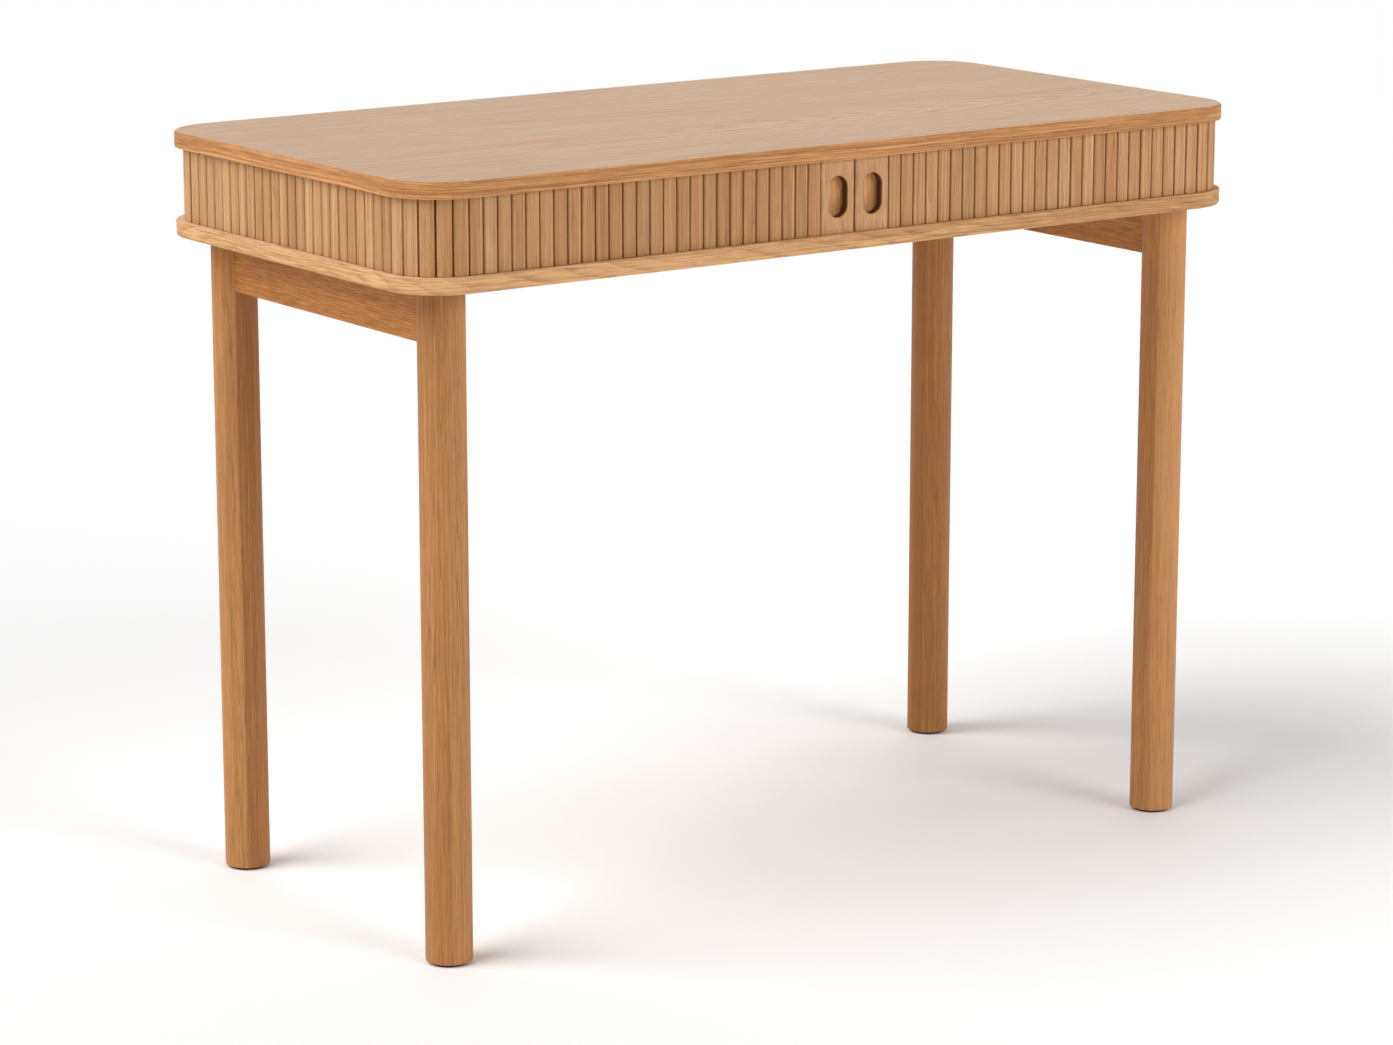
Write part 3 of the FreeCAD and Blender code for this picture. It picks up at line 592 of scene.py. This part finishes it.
def growth_rings(paint, grain, bent, figure):
    """How far each spot lies through its growth ring, and how clearly the rings show there.

    The rings lie about a pith line beside the piece. They taper and swell along it, and curl draws them into
    arches, which fade where they are farther from the pith line than heart, if one is given.
    """
    radius = paint.vector("LENGTH", paint.vector("MULTIPLY", bent, CROSSWISE))
    along, across = paint.split(bent)[:2]
    rise = paint.math("MULTIPLY_ADD", along, figure["curl"], figure["taper"])
    turns = paint.math("MULTIPLY_ADD", radius, figure["ring_rate"], paint.math("MULTIPLY", along, rise))
    turns = paint.math("MULTIPLY_ADD", paint.noise(grain, *WAVER_NOISE), RING_WAVER, turns)
    turns = paint.math("MULTIPLY_ADD", paint.noise(grain, *SWELL_NOISE), figure["swell"], turns)
    rings, heart = figure["rings"], figure["heart"]
    clear = paint.spread(paint.noise(grain, *PATCH_NOISE), *PATCH_LEVELS, FAINT_RING_SHARE * rings, rings)
    if heart:
        near = paint.spread(paint.math("ABSOLUTE", across), heart, 2 * heart, 1.0, HEART_FADE_SHARE)
        clear = paint.math("MULTIPLY", clear, near)
    return paint.math("FRACT", turns), clear


def oak(paint, grain, colour, figure, tone=None):
    """Colour and relief of oak; grain gives the place along, across and into the timber.

    Growth rings cross it, and streaks, lines, short flecks, dark dashes and open pores run along it.
    """
    swaying = paint.math("MULTIPLY", paint.swing(grain, *SWAY_NOISE), figure["sway"])
    bent = paint.vector("ADD", grain, paint.join(0.0, swaying, 0.0))
    ring, clear = growth_rings(paint, grain, bent, figure)
    lines = paint.swing(bent, *LINE_NOISE)
    value = paint.math("MULTIPLY_ADD", paint.spread(ring, 0.0, DARK_RING_SHARE, *RING_SHADES), clear, MIDDLE)
    value = paint.math("MULTIPLY_ADD", paint.swing(bent, *STREAK_NOISE), figure["streak"], value)
    value = paint.math("MULTIPLY_ADD", lines, figure["line"], value)
    value = paint.math("MULTIPLY_ADD", paint.swing(bent, *FLECK_NOISE), figure["fleck"], value)
    value = paint.math("MULTIPLY_ADD", paint.swing(grain, *CLOUD_NOISE), figure["cloud"], value)
    if figure["dash"]:
        dashes = paint.spread(paint.noise(bent, *DASH_NOISE), *DASH_LEVELS)
        value = paint.math("MULTIPLY_ADD", dashes, -figure["dash"], value)
    if tone is not None:
        value = paint.math("ADD", value, tone)
    dark, light = shades_of(colour, figure["contrast"], figure["reach"])
    shade = paint.ramp(value, ((0.0, dark), (MIDDLE, colour), (1.0, light)))
    early = paint.spread(ring, 0.0, PORE_RING_SHARE, 1.0, LATE_PORE_SHARE)
    pores = paint.math("MULTIPLY", paint.spread(paint.noise(bent, *PORE_NOISE), *PORE_LEVELS), early)
    deep = paint.spread(pores, 0.0, 1.0, 1.0, PORE_SHADE)
    shade = paint.vector("MULTIPLY", shade, paint.join(deep, deep, deep))
    return shade, paint.math("SUBTRACT", paint.math("MULTIPLY", lines, LINE_RELIEF_SHARE), pores)


def lacquer(paint, colour, relief, roughness=WOOD_ROUGHNESS, gloss=WOOD_GLOSS):
    """Thin lacquer over wood: a little rougher in the pores, which it doesn't fill."""
    paint.shader.inputs["Specular IOR Level"].default_value = gloss
    rough = paint.math("ADD", paint.spread(relief, *PORE_RELIEF, PORE_ROUGHNESS, 0.0), roughness)
    return paint.finish(colour, rough, paint.bump(relief, *GRAIN_BUMP))


def grain_of(paint, order, cut):
    """Grain of a solid: its coordinates in the order along, across and into, moved to its cut of timber."""
    place = paint.split(paint.place())
    return paint.vector("ADD", paint.join(*(place["XYZ".index(axis)] for axis in order)), cut)


def oak_solid(name, order, cut, colour, figure):
    """Oak for a solid whose grain runs along one axis."""
    paint = Paint(name)
    return lacquer(paint, *oak(paint, grain_of(paint, order, cut), colour, figure))


def oak_slats():
    """Oak for the slats, which carry their own grain, tone and warmth."""
    paint = Paint("oak_slats")
    tone, warmth = paint.split(paint.carried("tone"))[:2]
    shade, relief = oak(paint, paint.carried("grain"), SLAT_COLOUR, SLAT, tone)
    values = {"Color": shade, "Hue": paint.spread(warmth, -1, 1, *SLAT_HUES),
              "Saturation": paint.spread(warmth, -1, 1, *SLAT_SATURATIONS)}
    return lacquer(paint, paint.add("ShaderNodeHueSaturation", values).outputs[0], relief)


def oak_stile(name, node, cut):
    """Oak for a lead stile, with painted shade on its sides, on its pull's walls and on the right of the
    pull's floor, and painted light on the left of that floor.
    """
    paint = Paint(name)
    shade, relief = oak(paint, grain_of(paint, "ZXY", cut), STILE_COLOUR, STILE)
    low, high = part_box(node)
    place = paint.split(paint.place())
    aside = paint.math("SUBTRACT", place[0], (low.x + high.x) / 2)
    depth = paint.math("SUBTRACT", place[1], low.y)
    facing = paint.math("ABSOLUTE", paint.normal()[1])
    within = paint.math("LESS_THAN", paint.math("ABSOLUTE", aside), PULL_REACH)
    sunk = paint.math("MULTIPLY", within, paint.spread(depth, *PULL_RIM_DEPTH))
    # Painted light on the left of the pull's floor, fading to painted shade on its right
    rightwards = paint.spread(aside, -PULL_FLOOR_HALF, PULL_FLOOR_HALF)
    painted_floor_light_and_shade = paint.mix(rightwards, PULL_FLOOR_PAINTED_LIGHT, PULL_FLOOR_PAINTED_SHADE)
    shade = paint.vector("MULTIPLY", shade, paint.mix(sunk, UNTINTED, painted_floor_light_and_shade))
    # Painted shade on the stile's sides, for the shade in the gap where the stiles meet
    painted_side_shade = paint.vector("MULTIPLY", shade, STILE_SIDE_PAINTED_SHADE)
    shade = paint.mix(paint.spread(facing, *SIDE_FACING), shade, painted_side_shade)
    # Painted shade on the pull's walls
    painted_wall_shade = paint.math("MULTIPLY", sunk, paint.spread(facing, *WALL_FACING))
    return lacquer(paint, paint.mix(painted_wall_shade, shade, PULL_WALL_PAINTED_SHADE), relief)


def red_mark(paint, shade):
    """A reddish streak in the veneer of the top."""
    aside = paint.vector("SUBTRACT", paint.place(), (*TOP_MARK_PLACE, 0))
    reach = paint.vector("LENGTH", paint.vector("DIVIDE", aside, (*TOP_MARK_SIZE, ANY_HEIGHT)))
    torn = paint.math("ADD", reach, paint.swing(paint.place(), *TOP_MARK_NOISE))
    tinted = paint.vector("MULTIPLY", shade, TOP_MARK_TINT)
    return paint.mix(paint.spread(torn, *TOP_MARK_FADE), shade, tinted)


def oak_board(name, cut, face, edge, tones=EVEN_TONES, marked=False, roughness=WOOD_ROUGHNESS,
              gloss=WOOD_GLOSS):
    """Veneer on both faces of a board, and a duller edge band whose grain follows the outline.

    Face and edge have a colour and a figure each. The board goes from one tone at its left end to another at
    its right end.
    """
    paint = Paint(name)
    place = paint.split(paint.place())
    level = paint.spread(paint.math("ABSOLUTE", paint.normal()[2]), *LEVEL_SKIN)
    inset = paint.math("SUBTRACT", HALF_DEPTH, paint.math("ABSOLUTE", place[1]))
    around = paint.math("MULTIPLY_ADD", paint.math("SIGN", place[0]), inset, place[0])
    edge_grain = paint.vector("ADD", paint.join(around, place[2], 0.0), cut)
    face_grain = paint.vector("ADD", paint.join(place[0], place[1], 0.0), cut)
    tone = paint.spread(place[0], -HALF_WIDTH, HALF_WIDTH, *tones)
    edge_shade, edge_relief = oak(paint, edge_grain, *edge, tone)
    face_shade, face_relief = oak(paint, face_grain, *face, tone)
    if marked:
        face_shade = red_mark(paint, face_shade)
    shade = paint.mix(level, edge_shade, face_shade)
    relief = paint.mix(level, edge_relief, face_relief, "FLOAT")
    return lacquer(paint, shade, relief, paint.spread(level, 0, 1, EDGE_ROUGHNESS, roughness), gloss)


def oak_leg(name, node, along, joint, left_tone_and_shade, right_tone_and_shade):
    """Oak for a round leg turned from two glued staves, each with its own rings and a tone that is partly
    wood tone and partly painted light and shade.
    """
    low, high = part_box(node)
    centre = (low + high) / 2
    paint = Paint(name)
    local = paint.vector("SUBTRACT", paint.place(), (centre.x, centre.y, 0))
    values = {"Vector": local, "Angle": STAVE_TURN}
    turned = paint.add("ShaderNodeVectorRotate", values, rotation_type="Z_AXIS")
    spot = paint.split(turned.outputs[0])
    stave = paint.math("GREATER_THAN", spot[0], joint)
    # The stave tones hold painted light and shade besides the wood's own tone
    tone = paint.spread(stave, 0, 1, left_tone_and_shade, right_tone_and_shade)
    cut = paint.vector("MULTIPLY_ADD", paint.join(stave, stave, stave), STAVE_STEP, (along, *LEG_PITH))
    grain = paint.vector("ADD", paint.join(spot[2], spot[0], spot[1]), cut)
    return lacquer(paint, *oak(paint, grain, LEG_COLOUR, LEG, tone))


def mottled(name, colour, roughness, metal):
    """A finish with a fine even mottle."""
    paint = Paint(name)
    mottle = paint.noise(paint.place(), *MOTTLE_NOISE)
    shades = [[value * share for value in colour] for share in (1 - MOTTLE_CONTRAST, 1 + MOTTLE_CONTRAST)]
    paint.shader.inputs["Metallic"].default_value = metal
    rough = paint.spread(mottle, 0, 1, roughness - MOTTLE_ROUGHNESS, roughness + MOTTLE_ROUGHNESS)
    shade = paint.ramp(mottle, tuple(zip(MOTTLE_LEVELS, shades)))
    return paint.finish(shade, rough, paint.bump(mottle, *MOTTLE_BUMP))


def canvas():
    """Brown cotton canvas: two sets of yarns over and under each other."""
    paint = Paint("canvas")
    place = paint.split(paint.place())
    warp = paint.math("SINE", paint.math("MULTIPLY", paint.math("ADD", place[0], place[1]), YARN_RATE))
    weft = paint.math("SINE", paint.math("MULTIPLY", place[2], YARN_RATE))
    weave = paint.spread(paint.math("MULTIPLY", warp, weft), -1, 1)
    shade = paint.ramp(weave, ((0, CANVAS_DARK), (1, CANVAS_LIGHT)))
    return paint.finish(shade, CANVAS_ROUGHNESS, paint.bump(weave, *CANVAS_BUMP))


def finish_nodes(material, *nodes):
    """Give CAD nodes a finish."""
    for node in nodes:
        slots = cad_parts[node].data.materials
        slots.clear()
        slots.append(material)


def dress_case():
    """Finishes of the boards, the panels, the lead stiles and their stops."""
    top = oak_board("oak_top", TOP_CUT, (TOP_COLOUR, TOP_FACE), (TOP_EDGE_COLOUR, TOP_EDGE),
                    marked=True, roughness=TOP_ROUGHNESS, gloss=TOP_GLOSS)
    bottom = oak_board("oak_bottom", BOTTOM_CUT, (BOTTOM_COLOUR, BOTTOM_FACE),
                       (BOTTOM_EDGE_COLOUR, BOTTOM_EDGE), tones=BOTTOM_TONES)
    finish_nodes(top, "top_board")
    finish_nodes(bottom, "bottom_board")
    finish_nodes(oak_solid("oak_back", "XZY", BACK_CUT, INNER_COLOUR, PLAIN), "back_panel", "inner_back")
    finish_nodes(oak_solid("oak_inner", "YZX", INNER_CUT, INNER_COLOUR, PLAIN),
                 "left_inner_side", "right_inner_side", "centre_divider")
    for side in SIDES:
        stile = side + "_lead_stile"
        finish_nodes(oak_stile("oak_stile_" + side, stile, STILE_CUTS[side]), stile)
    finish_nodes(mottled("rubber", *RUBBER), "left_door_stop", "right_door_stop")


def dress_legs():
    """Finishes of the legs, their glides and the rails."""
    plastic = mottled("black_plastic", *BLACK_PLASTIC)
    for number, ((end, side), staves) in enumerate(LEG_STAVES.items()):
        leg = "leg_%s_%s" % (end, side)
        finish_nodes(oak_leg("oak_" + leg, leg, LEG_STEP * number, *staves), leg)
        finish_nodes(plastic, "glide_%s_%s" % (end, side))
    for side in SIDES:
        rail = oak_solid("oak_rail_" + side, "YZX", RAIL_CUTS[side], RAIL_COLOURS_AND_SHADE[side], RAIL)
        finish_nodes(rail, side + "_rail")


def dress_fasteners():
    """Finishes of dowels, pegs, bolts, screws and inserts."""
    finish_nodes(mottled("beech", *BEECH), "carcase_dowels", "rail_dowels", "centre_pegs")
    finish_nodes(mottled("zinc", *ZINC), "leg_bolts", "rail_screws")
    finish_nodes(mottled("brass", *BRASS), "leg_inserts")


def curtains():
    """Both curtains with their canvas; their front rows and front canvas bands get meshes of their own."""
    oak_material = oak_slats()
    canvas_material = canvas()
    for side, sign in SIDES.items():
        strips = curtain(side, sign, oak_material)
        band = curtain_canvas(side, sign, canvas_material)
        gives_way(strips["front"])
        gives_way(band)


# Studio

def floor():
    """Plain pale floor."""
    half = FLOOR_SIZE / 2
    mesh = bpy.data.meshes.new("floor")
    corners = [(-half, -half, 0), (half, -half, 0), (half, half, 0), (-half, half, 0)]
    mesh.from_pydata(corners, [], [(0, 1, 2, 3)])
    paint = Paint("floor")
    paint.shader.inputs["Base Color"].default_value = FLOOR_COLOUR
    paint.shader.inputs["Roughness"].default_value = FLOOR_ROUGHNESS
    mesh.materials.append(paint.material)
    plane = bpy.data.objects.new("floor", mesh)
    bpy.context.scene.collection.objects.link(plane)


def sky():
    """White surroundings, brighter where a backdrop stands behind the desk."""
    world = bpy.data.worlds.new("studio")
    world.use_nodes = True
    nodes, links = world.node_tree.nodes, world.node_tree.links
    direction = nodes.new("ShaderNodeTexCoord").outputs["Generated"]
    towards = nodes.new("ShaderNodeVectorMath")
    towards.operation = "DOT_PRODUCT"
    towards.inputs[1].default_value = Vector(BACKDROP_TOWARDS).normalized()
    share = nodes.new("ShaderNodeMapRange")
    share.interpolation_type = "SMOOTHSTEP"
    for name, value in (("From Min", BACKDROP_COSINES[0]), ("From Max", BACKDROP_COSINES[1]),
                        ("To Min", SKY_STRENGTH), ("To Max", BACKDROP_STRENGTH)):
        share.inputs[name].default_value = value
    links.new(direction, towards.inputs[0])
    links.new(towards.outputs["Value"], share.inputs["Value"])
    links.new(share.outputs["Result"], nodes["Background"].inputs["Strength"])
    nodes["Background"].inputs["Color"].default_value = SKY_COLOUR
    bpy.context.scene.world = world


def aimed(name, data, place, ahead):
    """A light or a camera at a place, looking ahead."""
    holder = bpy.data.objects.new(name, data)
    holder.location = place
    holder.rotation_mode = "QUATERNION"
    holder.rotation_quaternion = ahead.to_track_quat("-Z", "Y")
    bpy.context.scene.collection.objects.link(holder)
    return holder


def lamp(name, towards, strength, spread):
    """A distant soft light, seen from the desk as a wide disc."""
    light = bpy.data.lights.new(name, "SUN")
    light.energy = strength
    light.angle = spread
    aimed(name, light, towards, -Vector(towards))


def fill():
    """A square soft box near the right end."""
    light = bpy.data.lights.new("fill_light", "AREA")
    light.energy = FILL_POWER
    light.size = FILL_SIZE
    aimed("fill_light", light, FILL_PLACE, Vector(FILL_AIM) - Vector(FILL_PLACE))


def studio():
    """Plain soft light: a key from the front, a light on the left side and a fill at the right end."""
    bpy.context.scene.view_settings.view_transform = "Standard"
    sky()
    lamp("key_light", KEY_TOWARDS, KEY_STRENGTH, KEY_SPREAD)
    lamp("side_light", SIDE_TOWARDS, SIDE_STRENGTH, SIDE_SPREAD)
    fill()


def camera():
    """Camera at the photo's viewing angle."""
    lens = bpy.data.cameras.new("camera")
    lens.sensor_width = SENSOR_WIDTH
    lens.lens = CAMERA_LENS
    level = math.cos(CAMERA_TILT)
    ahead = Vector((math.sin(CAMERA_TURN) * level, math.cos(CAMERA_TURN) * level, -math.sin(CAMERA_TILT)))
    bpy.context.scene.camera = aimed("camera", lens, CAMERA_PLACE, ahead)


dress_case()
dress_legs()
dress_fasteners()
curtains()
floor()
studio()
camera()
